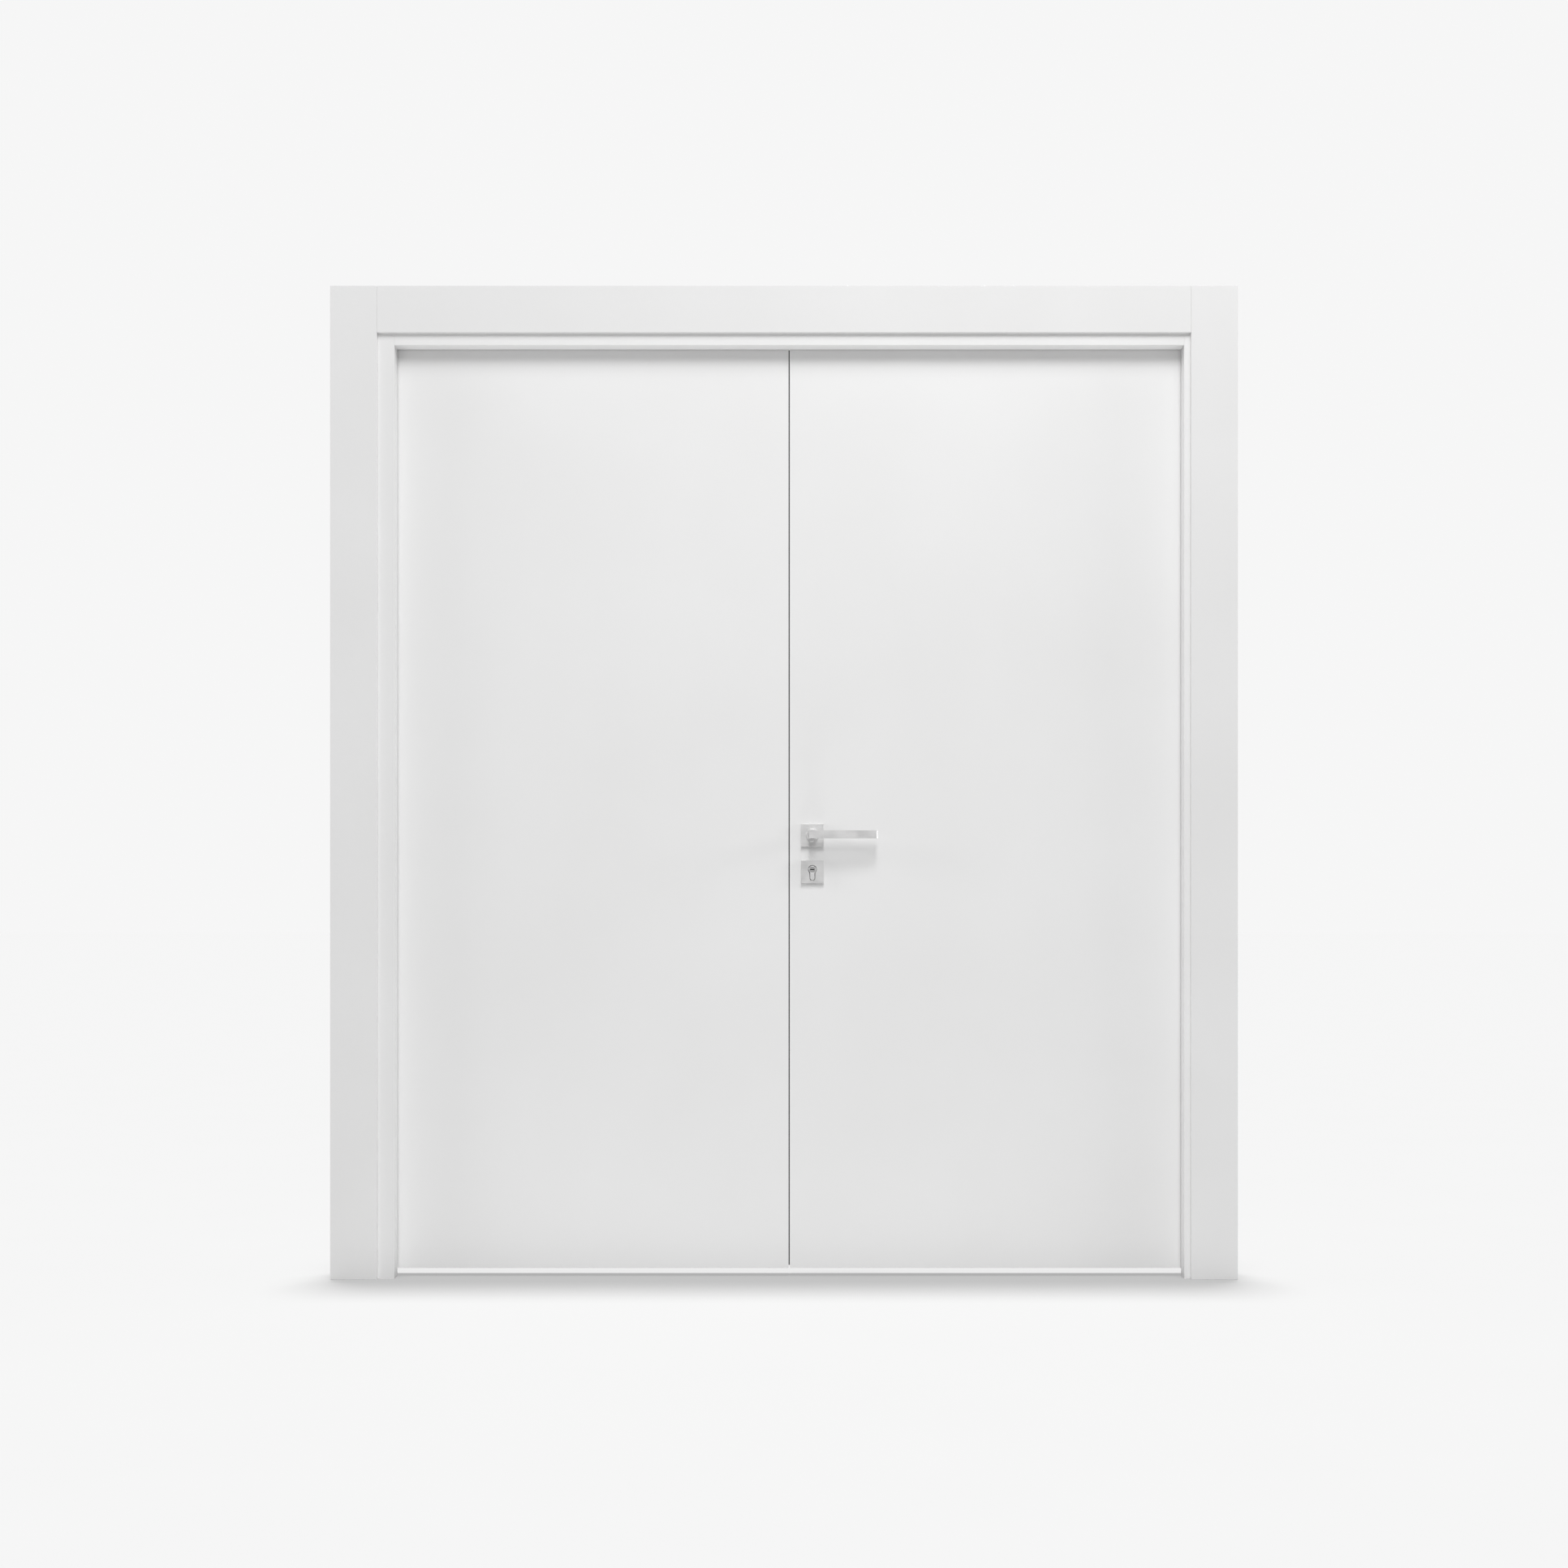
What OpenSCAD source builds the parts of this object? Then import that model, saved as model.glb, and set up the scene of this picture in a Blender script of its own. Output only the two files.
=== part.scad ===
// Double flush door in a rebated frame: one leaf with a lever lock, the other held by flush bolts.
// Sizes are in millimetres. +Z is up, +X is right from the front, +Y is the side the leaves open to.
// The origin is on the floor, midway between the outer casing edges, at mid leaf thickness.

/* [Leaves] */
// Width of each leaf
leaf_w = 900; // [700:1:1000]
// Height of each leaf
leaf_h = 2100; // [1900:1:2300]
// Thickness of each leaf
leaf_t = 45; // [42:0.5:54]
// Thickness of each face skin
skin_t = 4; // [3:0.5:5]
// Width of the hinge stiles
hinge_stile_w = 50; // [40:1:80]
// Width of the stiles at the meeting edges
meet_stile_w = 140; // [120:1:180]
// Height of the top rails
top_rail_h = 60; // [40:1:100]
// Height of the bottom rails
bottom_rail_h = 90; // [60:1:150]
// Diameter of the tubes through each core
tube_d = 26; // [16:1:28]
// Number of tubes through each core
tube_count = 17; // [9:1:17]

/* [Gaps] */
// Gap under the leaves
floor_gap = 18; // [18:0.5:25]
// Gap between a leaf and its jamb
side_gap = 3; // [2:0.1:4]
// Gap between the leaves and the head
top_gap = 3; // [2:0.1:5]
// Gap between the two leaves
meet_gap = 3; // [3:0.1:4]
// Space between stop and leaf, filled by the seal
stop_gap = 3; // [2:0.1:5]
// How far the jambs and leaves sit to the right of the casing
leaf_shift = 12; // [0:0.5:14]

/* [Frame] */
// Depth of the jambs, equal to the wall thickness
jamb_d = 90; // [80:1:140]
// Thickness of the jambs behind the rebate
jamb_t = 40; // [38:1:60]
// Projection of the stop past the rebate
stop_d = 13; // [11:0.5:20]
// Width of the front casing boards
casing_w = 105; // [70:1:140]
// Thickness of the casing boards
casing_t = 12; // [9:0.5:18]
// Jamb edge left showing beside the front casing, averaged over both sides
front_margin = 26; // [18:0.5:30]
// Jamb edge left showing beside the rear casing, past the rebate
rear_margin = 19.5; // [19:0.5:25]

/* [Seals] */
// Width of the stop seal
seal_w = 8; // [6:0.5:10]
// Width of the crown of the stop seal
seal_crown_w = 4; // [2:0.5:6]
// Gap between the stop seal and a closed leaf
seal_clear = 0.3; // [0.2:0.1:1]
// Width of the seal grooves
groove_w = 3; // [2:0.1:4]
// Depth of the seal grooves
groove_d = 6; // [4:0.5:8]
// Play of a seal stem at each side of its groove
groove_play = 0.1; // [0.05:0.05:0.2]
// Width of the meeting seal
meet_seal_w = 4.4; // [3:0.1:5]
// Gap between the meeting seal and the other leaf
meet_seal_clear = 0.5; // [0.4:0.1:1]
// Distance of the meeting seal behind the middle of the leaf
meet_seal_y = 14.5; // [13:0.1:15]
// Distance of the meeting seal ends from the leaf ends
meet_seal_end = 2; // [1:0.5:5]

/* [Hinges] */
// Number of hinges on each leaf
hinge_count = 3; // [2:1:4]
// Height of each hinge
hinge_h = 100; // [80:1:120]
// Top hinge to the top of the leaf
hinge_top = 150; // [100:1:250]
// Bottom hinge to the bottom of the leaf
hinge_bottom = 200; // [100:1:300]
// Width of a hinge plate
plate_w = 35; // [30:0.5:38]
// Thickness of a hinge plate
plate_t = 2.5; // [2.4:0.1:3]
// Outer radius of the knuckles
knuckle_r = 6.5; // [6:0.1:6.5]
// Number of knuckles in a hinge
knuckle_count = 5; // [3:2:7]
// Gap between neighbouring knuckles
knuckle_gap = 0.4; // [0.2:0.1:0.8]
// Distance of the pin axis behind the leaf
pin_off = 7; // [7:0.1:8]
// Radius of the hinge pins
pin_r = 4; // [3:0.1:4.2]
// Radial clearance of a pin in its knuckles
pin_clear = 0.05; // [0.02:0.01:0.1]
// Radius of the pin heads
pin_head_r = 5.5; // [5:0.1:6]
// Height of the pin heads
pin_head_h = 3; // [2:0.5:5]
// Height of the outer screws above and below the hinge middle
hinge_screw_far = 38; // [30:1:38]
// Height of the inner screws above and below the hinge middle
hinge_screw_near = 14; // [8:1:20]
// Offset of the outer screws from the plate middle
hinge_screw_side = 7; // [4:0.5:9]

/* [Screws] */
// Radius of the screw shanks
screw_r = 2; // [1.5:0.1:2.5]
// Radius of the countersunk heads
screw_head_r = 4; // [3.5:0.1:4.5]
// Depth of the countersunk heads
screw_head_h = 2.2; // [1.8:0.1:2.4]
// Length of the wood screws
screw_len = 28; // [20:1:32]
// Length of the short plate screws
short_screw_len = 14; // [10:0.5:15]
// Radial play of a screw in its hole
screw_play = 0.1; // [0.05:0.05:0.2]
// Width of the cross recess in a screw head
cross_w = 1; // [0.6:0.1:1.4]
// Span of the cross recess
cross_span = 4.6; // [3:0.1:5]
// Depth of the cross recess
cross_d = 1; // [0.5:0.1:1.5]

/* [Lock] */
// Handle axis to the edge of the leaf
backset = 51; // [50:0.5:60]
// Height of the handle axis above the floor
handle_z = 1003; // [900:1:1100]
// Handle axis down to the cylinder axis
lock_centres = 78; // [72:0.5:92]
// Width of the forend
forend_w = 20; // [18:0.5:22]
// Thickness of the forend
forend_t = 3; // [2.5:0.1:4]
// Forend above the handle axis
forend_up = 85; // [80:1:100]
// Forend below the handle axis
forend_down = 150; // [140:1:170]
// Forend end to its screws
forend_screw_in = 11; // [8:0.5:14]
// Thickness of the lock case
case_t = 15; // [14:0.5:18]
// Depth of the lock case from the leaf edge
case_d = 88; // [80:1:100]
// Lock case above the handle axis
case_up = 52; // [45:1:60]
// Lock case below the handle axis
case_down = 116; // [110:1:125]
// Wall of the lock case
case_wall = 1.5; // [1:0.1:2]
// Play of the lock case in its mortise
case_play = 0.5; // [0.3:0.1:1]
// Radius of the follower hub
hub_r = 9.7; // [8:0.1:10.5]
// Radial clearance round the turning hub
hub_clear = 0.3; // [0.3:0.05:0.6]
// Radius of the follower disc
follower_r = 13; // [12:0.1:13]
// Height of the follower arm above the handle axis
arm_h = 20; // [18:0.5:20]
// Width of the follower arm
arm_w = 8; // [5:0.5:8]
// Gap at the sides of moving pieces in the case
case_gap = 0.4; // [0.3:0.1:0.8]

/* [Bolts] */
// Thickness of the latch and the dead bolt
bolt_t = 10; // [8:0.5:11]
// Set-back of the drawn bolts from the leaf edge
bolt_back = 0.5; // [0.2:0.1:1]
// Gap around the bolts in the forend
bolt_gap = 0.4; // [0.3:0.1:0.8]
// Height of the latch head
latch_h = 20; // [16:0.5:20]
// Middle of the latch above the handle axis
latch_up = 18; // [18:0.5:24]
// Length of the latch head
latch_len = 28; // [20:1:30]
// Height of the latch tail strip
latch_tail_h = 4; // [3:0.5:5]
// Lower edge of the latch tail strip above the handle axis
latch_tail_up = 22; // [22:0.5:26]
// Drawn latch hook past the handle axis
hook_x = 15.5; // [15.5:0.1:17]
// Thickness of the latch hook
hook_t = 4; // [3:0.5:6]
// Lower end of the latch hook above the handle axis
hook_up = 14.5; // [14.5:0.1:18]
// Height of the dead bolt
dead_h = 24; // [20:0.5:26]
// Middle of the dead bolt below the handle axis
dead_down = 40; // [36:0.5:42]
// Length of the dead bolt head
dead_len = 44; // [36:1:48]
// Length of the dead bolt tail
dead_tail_len = 30; // [20:1:34]
// Height of the dead bolt tail
dead_tail_h = 10; // [6:0.5:14]

/* [Cylinder] */
// Radius of the round part of the cylinder
cyl_r = 8.5; // [8:0.1:9]
// Width of the tail under the round part
cyl_tail_w = 10; // [9:0.1:11]
// Cylinder axis to the bottom of the tail
cyl_tail = 24.5; // [23:0.1:25]
// Projection of the cylinder past each rose
cyl_proud = 1; // [0.5:0.1:3]
// Play of the cylinder in the leaf and case
cyl_play = 0.4; // [0.3:0.1:0.8]
// Gap around the cylinder in its roses
cyl_ring = 1.4; // [0.6:0.1:2]
// Radius of the turning plugs
plug_r = 6.4; // [5.5:0.1:7]
// Radial clearance of the plugs
plug_clear = 0.1; // [0.05:0.01:0.1]
// Width of the keyway
key_w = 9.6; // [7:0.1:10.5]
// Height of the keyway
key_h = 2.2; // [1.5:0.1:3]
// Depth of the keyway
key_d = 22; // [15:1:26]
// Thickness of the cam
cam_t = 9; // [7:0.5:9]
// Radius of the cam
cam_r = 7.5; // [7:0.1:8]
// Reach of the cam finger
finger_reach = 15; // [13:0.1:15]
// Width of the cam finger
finger_w = 6; // [4:0.5:7]
// Height of the bridge that joins the cylinder halves
bridge_h = 8; // [6:0.5:8]
// Radius of the cylinder fixing screw
fix_r = 2.4; // [2:0.1:2.4]
// Width of the thumb turn
turn_w = 27; // [20:0.5:32]
// Thickness of the thumb turn
turn_t = 8; // [6:0.5:11]
// Depth of the thumb turn grip
turn_d = 16; // [10:0.5:22]
// Gap between the thumb turn grip and the rose
turn_gap = 5; // [3:0.5:8]

/* [Handles] */
// Width and height of the square roses
rose_w = 52; // [48:0.5:56]
// Thickness of the roses
rose_t = 10; // [8:0.5:12]
// Cylinder rose below the middle of its cylinder
rose_drop = 5; // [3:0.1:7]
// Radius of the collar on the handle roses
collar_r = 14.5; // [12:0.1:18]
// Height of the collar on the handle roses
collar_h = 4; // [2:0.5:8]
// Radius of the lever necks
neck_r = 8.5; // [7.5:0.1:9]
// Radial clearance of a neck in its rose
neck_clear = 0.3; // [0.3:0.05:0.6]
// Length of neck inside the leaf face
neck_in = 3; // [1:0.5:3.5]
// Radial room for the neck in the leaf
neck_room = 2; // [1:0.5:4]
// Front face of the lever to the face of the leaf
lever_out = 60; // [50:0.5:70]
// Thickness of the lever bar
lever_t = 10; // [8:0.5:14]
// Height of the lever bar
lever_h = 18; // [17.5:0.5:24]
// Lever end to the handle axis
lever_reach = 147; // [110:1:160]
// Lever bar past the handle axis on the short side
lever_tail = 8.5; // [8.5:0.5:14]
// Bevel at the free end of the lever
lever_bevel = 3; // [1:0.5:5]
// Width of the square spindle
spindle_w = 8; // [7:0.1:9]
// Play around the square spindle
spindle_play = 0.1; // [0.05:0.05:0.3]
// Reach of the spindle past each leaf face
spindle_out = 28; // [20:0.5:35]
// Room past the spindle ends in the necks
spindle_room = 1; // [0.5:0.5:3]

/* [Strike] */
// Width of the strike plate
strike_w = 24; // [20:0.5:24]
// Thickness of the strike and flush bolt plates
edge_plate_t = 2.5; // [2.4:0.1:4]
// Strike plate above the handle axis
strike_up = 66; // [60:1:80]
// Strike plate below the handle axis
strike_down = 96; // [90:1:110]
// Strike plate end to its screws
strike_screw_in = 10; // [8:0.5:12]
// Gap around the bolts in the strike plate
strike_gap = 3; // [2:0.1:3.5]
// Throw of the latch
latch_throw = 11; // [8:0.5:11]
// Throw of the dead bolt
dead_throw = 20; // [14:0.5:20]
// Room past the thrown bolts in the strike pockets
pocket_room = 4; // [2:0.5:8]

/* [Flush bolts] */
// Width of the flush bolt plates
flush_w = 18; // [16:0.5:22]
// Height of the flush bolt plates
flush_h = 180; // [150:1:220]
// Flush bolt plate to the end of the leaf
flush_in = 20; // [10:1:40]
// Flush bolt plate end to its screws
flush_screw_in = 12; // [8:0.5:16]
// Radius of the flush bolt rods
rod_r = 5; // [4:0.1:5.5]
// Rod axis to the edge of the leaf
rod_depth = 22; // [22:0.5:30]
// Length of the rods
rod_len = 150; // [140:1:180]
// Set-back of the drawn rods from the leaf end
rod_back = 1; // [0.5:0.5:2]
// Radial play of the rods
rod_play = 0.5; // [0.3:0.1:1]
// Travel of the flush bolts
flush_throw = 17; // [12:0.5:17]
// Width of the finger tabs
tab_w = 8; // [6:0.5:9]
// Height of the finger tabs
tab_h = 16; // [10:0.5:20]
// Set-back of the finger tabs from the plate face
tab_back = 0.6; // [0.5:0.1:1.5]
// Gap around the finger tabs
tab_gap = 1; // [0.5:0.1:1.5]
// Length of the head keep
keep_l = 56; // [50:1:70]
// Width of the head keep
keep_w = 24; // [20:0.5:30]
// Thickness of the head keep
keep_t = 2.5; // [2.4:0.1:3]
// Width of the slot in the head keep
keep_slot = 15; // [13:0.1:16]
// Depth of the pocket above the head keep
keep_depth = 24; // [20:1:30]
// Keep screws from the keep middle
keep_screw_x = 19; // [15:0.5:21]
// Length of the block let into the head lining behind the keep
keep_block_l = 80; // [76:1:100]
// Open joint at each end of the keep block
keep_joint = 0.4; // [0.3:0.1:0.8]

/* [Hidden] */
$fn = 64;
cut = 1;
paint = [0.93, 0.93, 0.92];
timber = [0.80, 0.70, 0.55];
board = [0.72, 0.60, 0.44];
satin = [0.76, 0.76, 0.77];
steel = [0.66, 0.67, 0.68];
rubber = [0.80, 0.80, 0.80];
dark_rubber = [0.20, 0.20, 0.21];

leaf_x0 = meet_gap / 2;
leaf_x1 = leaf_x0 + leaf_w;
leaf_z0 = floor_gap;
leaf_z1 = leaf_z0 + leaf_h;
leaf_mid_z = (leaf_z0 + leaf_z1) / 2;
face_y = leaf_t / 2;
core_y = face_y - skin_t;

rebate_x = leaf_x1 + side_gap;
stop_x = rebate_x - stop_d;
jamb_x = rebate_x + jamb_t;
stop_y = -face_y - stop_gap;
jamb_y0 = face_y - jamb_d;
rebate_z = leaf_z1 + top_gap;
stop_z = rebate_z - stop_d;
jamb_z = rebate_z + jamb_t;

casing_x0 = stop_x + front_margin;
casing_x1 = casing_x0 + casing_w;
casing_z0 = stop_z + front_margin;
casing_z1 = casing_z0 + casing_w;
rear_x0 = rebate_x + rear_margin;
rear_z0 = rebate_z + rear_margin;

stem_w = groove_w - 2 * groove_play;
stem_d = groove_d - groove_play;
seal_h = stop_gap - seal_clear;
seal_mid = stop_d / 2;
meet_seal_h = meet_gap - meet_seal_clear;

hinge_x = leaf_x1 + side_gap / 2;
hinge_y = face_y + pin_off;
plate_y0 = face_y - plate_w;
plate_mid_y = face_y - plate_w / 2;
hinge_z0 = leaf_z0 + hinge_bottom + hinge_h / 2;
hinge_z1 = leaf_z1 - hinge_top - hinge_h / 2;
hinge_step = (hinge_z1 - hinge_z0) / (hinge_count - 1);
knuckle_h = hinge_h / knuckle_count;
pin_bore_r = pin_r + pin_clear;

handle_x = leaf_x0 + backset;
cyl_z = handle_z - lock_centres;
case_y = case_t / 2;
case_in_y = case_y - case_wall - case_gap;
bolt_y = bolt_t / 2;
bolt_x0 = leaf_x0 + bolt_back;
latch_z = handle_z + latch_up;
dead_z = handle_z - dead_down;
fix_z = cyl_z - cyl_tail + bridge_h / 2;
cyl_y = face_y + rose_t + cyl_proud;
cam_y = cam_t / 2;
body_gap_y = cam_y + case_gap;
plug_bore_r = plug_r + plug_clear;
rose_y = face_y + rose_t;
lever_y = face_y + lever_out;
bar_y = lever_y - lever_t;
spindle_y = face_y + spindle_out;

rod_x = leaf_x0 + rod_depth;
flush_z1 = leaf_z1 - flush_in;
flush_z0 = flush_z1 - flush_h;
tab_z = (flush_z0 + flush_z1 - flush_throw) / 2;
latch_pocket_d = latch_throw + pocket_room;
dead_pocket_d = dead_throw + pocket_room;

// Box between two opposite corners
module box(low, high) {
  translate(low) cube(high - low);
}

// Round bar along Y
module bar_y_round(r, y0, y1) {
  translate([0, y0, 0]) rotate([-90, 0, 0]) cylinder(r = r, h = y1 - y0);
}

// Right-hand pieces as drawn, left-hand pieces mirrored, both set over with the leaves
module on_side(s) {
  translate([leaf_shift, 0, 0]) {
    if (s < 0) mirror([1, 0, 0]) children();
    if (s > 0) children();
  }
}

// Upper flush bolt pieces as drawn, lower ones mirrored about the middle of the leaf
module on_end(s) {
  if (s > 0) children();
  if (s < 0) translate([0, 0, 2 * leaf_mid_z]) mirror([0, 0, 1]) children();
}

module at_hinges() {
  for (i = [0 : hinge_count - 1]) translate([0, 0, hinge_z0 + i * hinge_step]) children();
}

module at_hinge_screws() {
  for (s = [-1, 1]) {
    translate([0, plate_mid_y - hinge_screw_side, s * hinge_screw_far]) children();
    translate([0, plate_mid_y + hinge_screw_side, s * hinge_screw_near]) children();
  }
}

// Countersunk screw with its head face at the origin, pointing along +Z
module screw(length) {
  difference() {
    union() {
      cylinder(r1 = screw_head_r, r2 = screw_r, h = screw_head_h);
      cylinder(r = screw_r, h = length);
    }
    box([-cross_span / 2, -cross_w / 2, -cut], [cross_span / 2, cross_w / 2, cross_d]);
    box([-cross_w / 2, -cross_span / 2, -cut], [cross_w / 2, cross_span / 2, cross_d]);
  }
}

// Hole that a screw of that length leaves, with its play
module screw_hole(length) {
  translate([0, 0, -cut]) cylinder(r = screw_head_r + screw_play, h = cut);
  cylinder(r1 = screw_head_r + screw_play, r2 = screw_r + screw_play, h = screw_head_h);
  cylinder(r = screw_r + screw_play, h = length + screw_play);
}

// Into the jamb, and into a meeting edge
module along_x() {
  rotate([0, 90, 0]) children();
}

// Into a hinge edge of a leaf
module against_x() {
  rotate([0, -90, 0]) children();
}

// Solid of the profile cylinder, enlarged all round
module cylinder_bar(grow, y0, y1) {
  low = cyl_tail - cyl_tail_w / 2;
  bar_y_round(cyl_r + grow, y0, y1);
  box([-cyl_tail_w / 2 - grow, y0, -low], [cyl_tail_w / 2 + grow, y1, 0]);
  translate([0, 0, -low]) bar_y_round(cyl_tail_w / 2 + grow, y0, y1);
}

// Frame

module jamb_leg() {
  difference() {
    linear_extrude(jamb_z) polygon([
      [stop_x, jamb_y0], [jamb_x, jamb_y0], [jamb_x, face_y],
      [rebate_x, face_y], [rebate_x, stop_y], [stop_x, stop_y]
    ]);
    box([rebate_x - seal_mid - groove_w / 2, stop_y - groove_d, -cut],
        [rebate_x - seal_mid + groove_w / 2, stop_y + cut, rebate_z]);
    at_hinges() {
      box([rebate_x - cut, plate_y0, -hinge_h / 2], [rebate_x + plate_t, face_y + cut, hinge_h / 2]);
      translate([rebate_x, 0, 0]) at_hinge_screws() along_x() screw_hole(screw_len);
    }
  }
}

module left_jamb() { color(paint) on_side(-1) jamb_leg(); }
module right_jamb() { color(paint) on_side(1) jamb_leg(); }

module head_jamb() {
  color(paint) translate([leaf_shift, 0, 0]) difference() {
    box([-stop_x, jamb_y0, stop_z], [stop_x, stop_y, jamb_z]);
    box([-stop_x - cut, stop_y - groove_d, rebate_z - seal_mid - groove_w / 2],
        [stop_x + cut, stop_y + cut, rebate_z - seal_mid + groove_w / 2]);
  }
}

// Rebated rear of the head, in two lengths with the keep block between them
module head_lining() {
  color(paint) translate([leaf_shift, 0, 0]) {
    box([-rebate_x, stop_y, rebate_z], [-rod_x - keep_block_l / 2 - keep_joint, face_y, jamb_z]);
    box([-rod_x + keep_block_l / 2 + keep_joint, stop_y, rebate_z], [rebate_x, face_y, jamb_z]);
    translate([-rod_x, 0, rebate_z]) difference() {
      box([-keep_block_l / 2, stop_y, 0], [keep_block_l / 2, face_y, jamb_t]);
      box([-keep_l / 2, -keep_w / 2, -cut], [keep_l / 2, keep_w / 2, keep_t]);
      box([-keep_slot / 2, -keep_slot / 2, -cut], [keep_slot / 2, keep_slot / 2, keep_depth]);
      for (s = [-1, 1]) translate([s * keep_screw_x, 0, 0]) screw_hole(short_screw_len);
    }
  }
}

module front_leg(s) {
  low = s > 0 ? casing_x0 : -casing_x1;
  box([low, jamb_y0 - casing_t, 0], [low + casing_w, jamb_y0, casing_z1]);
}

module rear_leg(s) {
  low = s > 0 ? rear_x0 : -casing_x1;
  box([low, face_y, 0], [low + casing_x1 - rear_x0, face_y + casing_t, casing_z1]);
}

module front_left_casing() { color(paint) front_leg(-1); }
module front_right_casing() { color(paint) front_leg(1); }
module rear_left_casing() { color(paint) rear_leg(-1); }
module rear_right_casing() { color(paint) rear_leg(1); }

module front_head_casing() {
  color(paint) box([-casing_x0, jamb_y0 - casing_t, casing_z0], [casing_x0, jamb_y0, casing_z1]);
}

module rear_head_casing() {
  color(paint) box([-rear_x0, face_y, rear_z0], [rear_x0, face_y + casing_t, casing_z1]);
}

// Section of the stop seal: the crown faces the leaf, the stem sits in the groove
module seal_section() {
  polygon([
    [-stem_w / 2, -stem_d], [stem_w / 2, -stem_d], [stem_w / 2, 0], [seal_w / 2, 0],
    [seal_crown_w / 2, seal_h], [-seal_crown_w / 2, seal_h], [-seal_w / 2, 0], [-stem_w / 2, 0]
  ]);
}

module leg_seal() {
  translate([rebate_x - seal_mid, stop_y, 0]) linear_extrude(rebate_z) seal_section();
}

module left_seal() { color(rubber) on_side(-1) leg_seal(); }
module right_seal() { color(rubber) on_side(1) leg_seal(); }

module head_seal() {
  color(rubber) translate([leaf_shift - stop_x, stop_y, rebate_z - seal_mid])
    rotate([0, 90, 0]) linear_extrude(2 * stop_x) seal_section();
}

// Hinges: a plate on the timber, knuckles of every second height, and a bore for the pin
module hinge_half(plate_x, first) {
  difference() {
    union() {
      box([plate_x, plate_y0, -hinge_h / 2], [plate_x + plate_t, face_y, hinge_h / 2]);
      for (k = [first : 2 : knuckle_count - 1])
        translate([0, 0, k * knuckle_h - hinge_h / 2 + knuckle_gap / 2]) {
          translate([hinge_x, hinge_y, 0]) cylinder(r = knuckle_r, h = knuckle_h - knuckle_gap);
          box([plate_x, face_y - cut, 0], [plate_x + plate_t, hinge_y, knuckle_h - knuckle_gap]);
        }
    }
    translate([hinge_x, hinge_y, -hinge_h / 2 - cut]) cylinder(r = pin_bore_r, h = hinge_h + 2 * cut);
  }
}

module frame_hinges() {
  at_hinges() difference() {
    hinge_half(rebate_x, 0);
    translate([rebate_x, 0, 0]) at_hinge_screws() along_x() screw_hole(screw_len);
  }
}

module leaf_hinges() {
  at_hinges() difference() {
    hinge_half(leaf_x1 - plate_t, 1);
    translate([leaf_x1, 0, 0]) at_hinge_screws() against_x() screw_hole(screw_len);
  }
}

module hinge_pin() {
  top = hinge_h / 2 - knuckle_gap / 2;
  translate([hinge_x, hinge_y, 0]) {
    translate([0, 0, -hinge_h / 2]) cylinder(r = pin_r, h = top + hinge_h / 2);
    translate([0, 0, top]) cylinder(r = pin_head_r, h = pin_head_h);
  }
}

module left_frame_hinges() { color(steel) on_side(-1) frame_hinges(); }
module right_frame_hinges() { color(steel) on_side(1) frame_hinges(); }
module hinge_pins() { color(steel) for (s = [-1, 1]) on_side(s) at_hinges() hinge_pin(); }

module frame_screws() {
  color(steel) {
    for (s = [-1, 1]) on_side(s) at_hinges()
      translate([rebate_x, 0, 0]) at_hinge_screws() along_x() screw(screw_len);
    for (s = [-1, 1]) translate([leaf_shift - rod_x + s * keep_screw_x, 0, rebate_z]) screw(short_screw_len);
  }
}

module head_keep() {
  color(steel) translate([leaf_shift - rod_x, 0, rebate_z]) difference() {
    box([-keep_l / 2, -keep_w / 2, 0], [keep_l / 2, keep_w / 2, keep_t]);
    box([-keep_slot / 2, -keep_slot / 2, -cut], [keep_slot / 2, keep_slot / 2, keep_t + cut]);
    for (s = [-1, 1]) translate([s * keep_screw_x, 0, 0]) screw_hole(short_screw_len);
  }
}

// Leaf joinery shared by both leaves

module hinge_plate_cuts() {
  at_hinges() box([leaf_x1 - plate_t, plate_y0, -hinge_h / 2], [leaf_x1 + cut, face_y + cut, hinge_h / 2]);
}

module hinge_stile() {
  difference() {
    box([leaf_x1 - hinge_stile_w, -core_y, leaf_z0], [leaf_x1, core_y, leaf_z1]);
    hinge_plate_cuts();
    at_hinges() translate([leaf_x1, 0, 0]) at_hinge_screws() against_x() screw_hole(screw_len);
  }
}

module rail(low, high) {
  box([leaf_x0 + meet_stile_w, -core_y, low], [leaf_x1 - hinge_stile_w, core_y, high]);
}

module core() {
  x0 = leaf_x0 + meet_stile_w;
  pitch = (leaf_w - meet_stile_w - hinge_stile_w) / tube_count;
  low = leaf_z0 + bottom_rail_h;
  high = leaf_z1 - top_rail_h;
  difference() {
    rail(low, high);
    for (i = [0 : tube_count - 1])
      translate([x0 + (i + 0.5) * pitch, 0, low - cut]) cylinder(r = tube_d / 2, h = high - low + 2 * cut);
  }
}

// Room in the leaf for the lever necks and the cylinder
module lock_holes() {
  translate([handle_x, 0, handle_z]) bar_y_round(neck_r + neck_room, -face_y - cut, face_y + cut);
  translate([handle_x, 0, cyl_z]) cylinder_bar(cyl_play, -face_y - cut, face_y + cut);
}

module skin(y0) {
  box([leaf_x0, y0, leaf_z0], [leaf_x1, y0 + skin_t, leaf_z1]);
}

// Active leaf, at the right

module active_front_skin() {
  color(paint) on_side(1) difference() {
    skin(-face_y);
    lock_holes();
  }
}

module active_rear_skin() {
  color(paint) on_side(1) difference() {
    skin(core_y);
    lock_holes();
    hinge_plate_cuts();
  }
}

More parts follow.
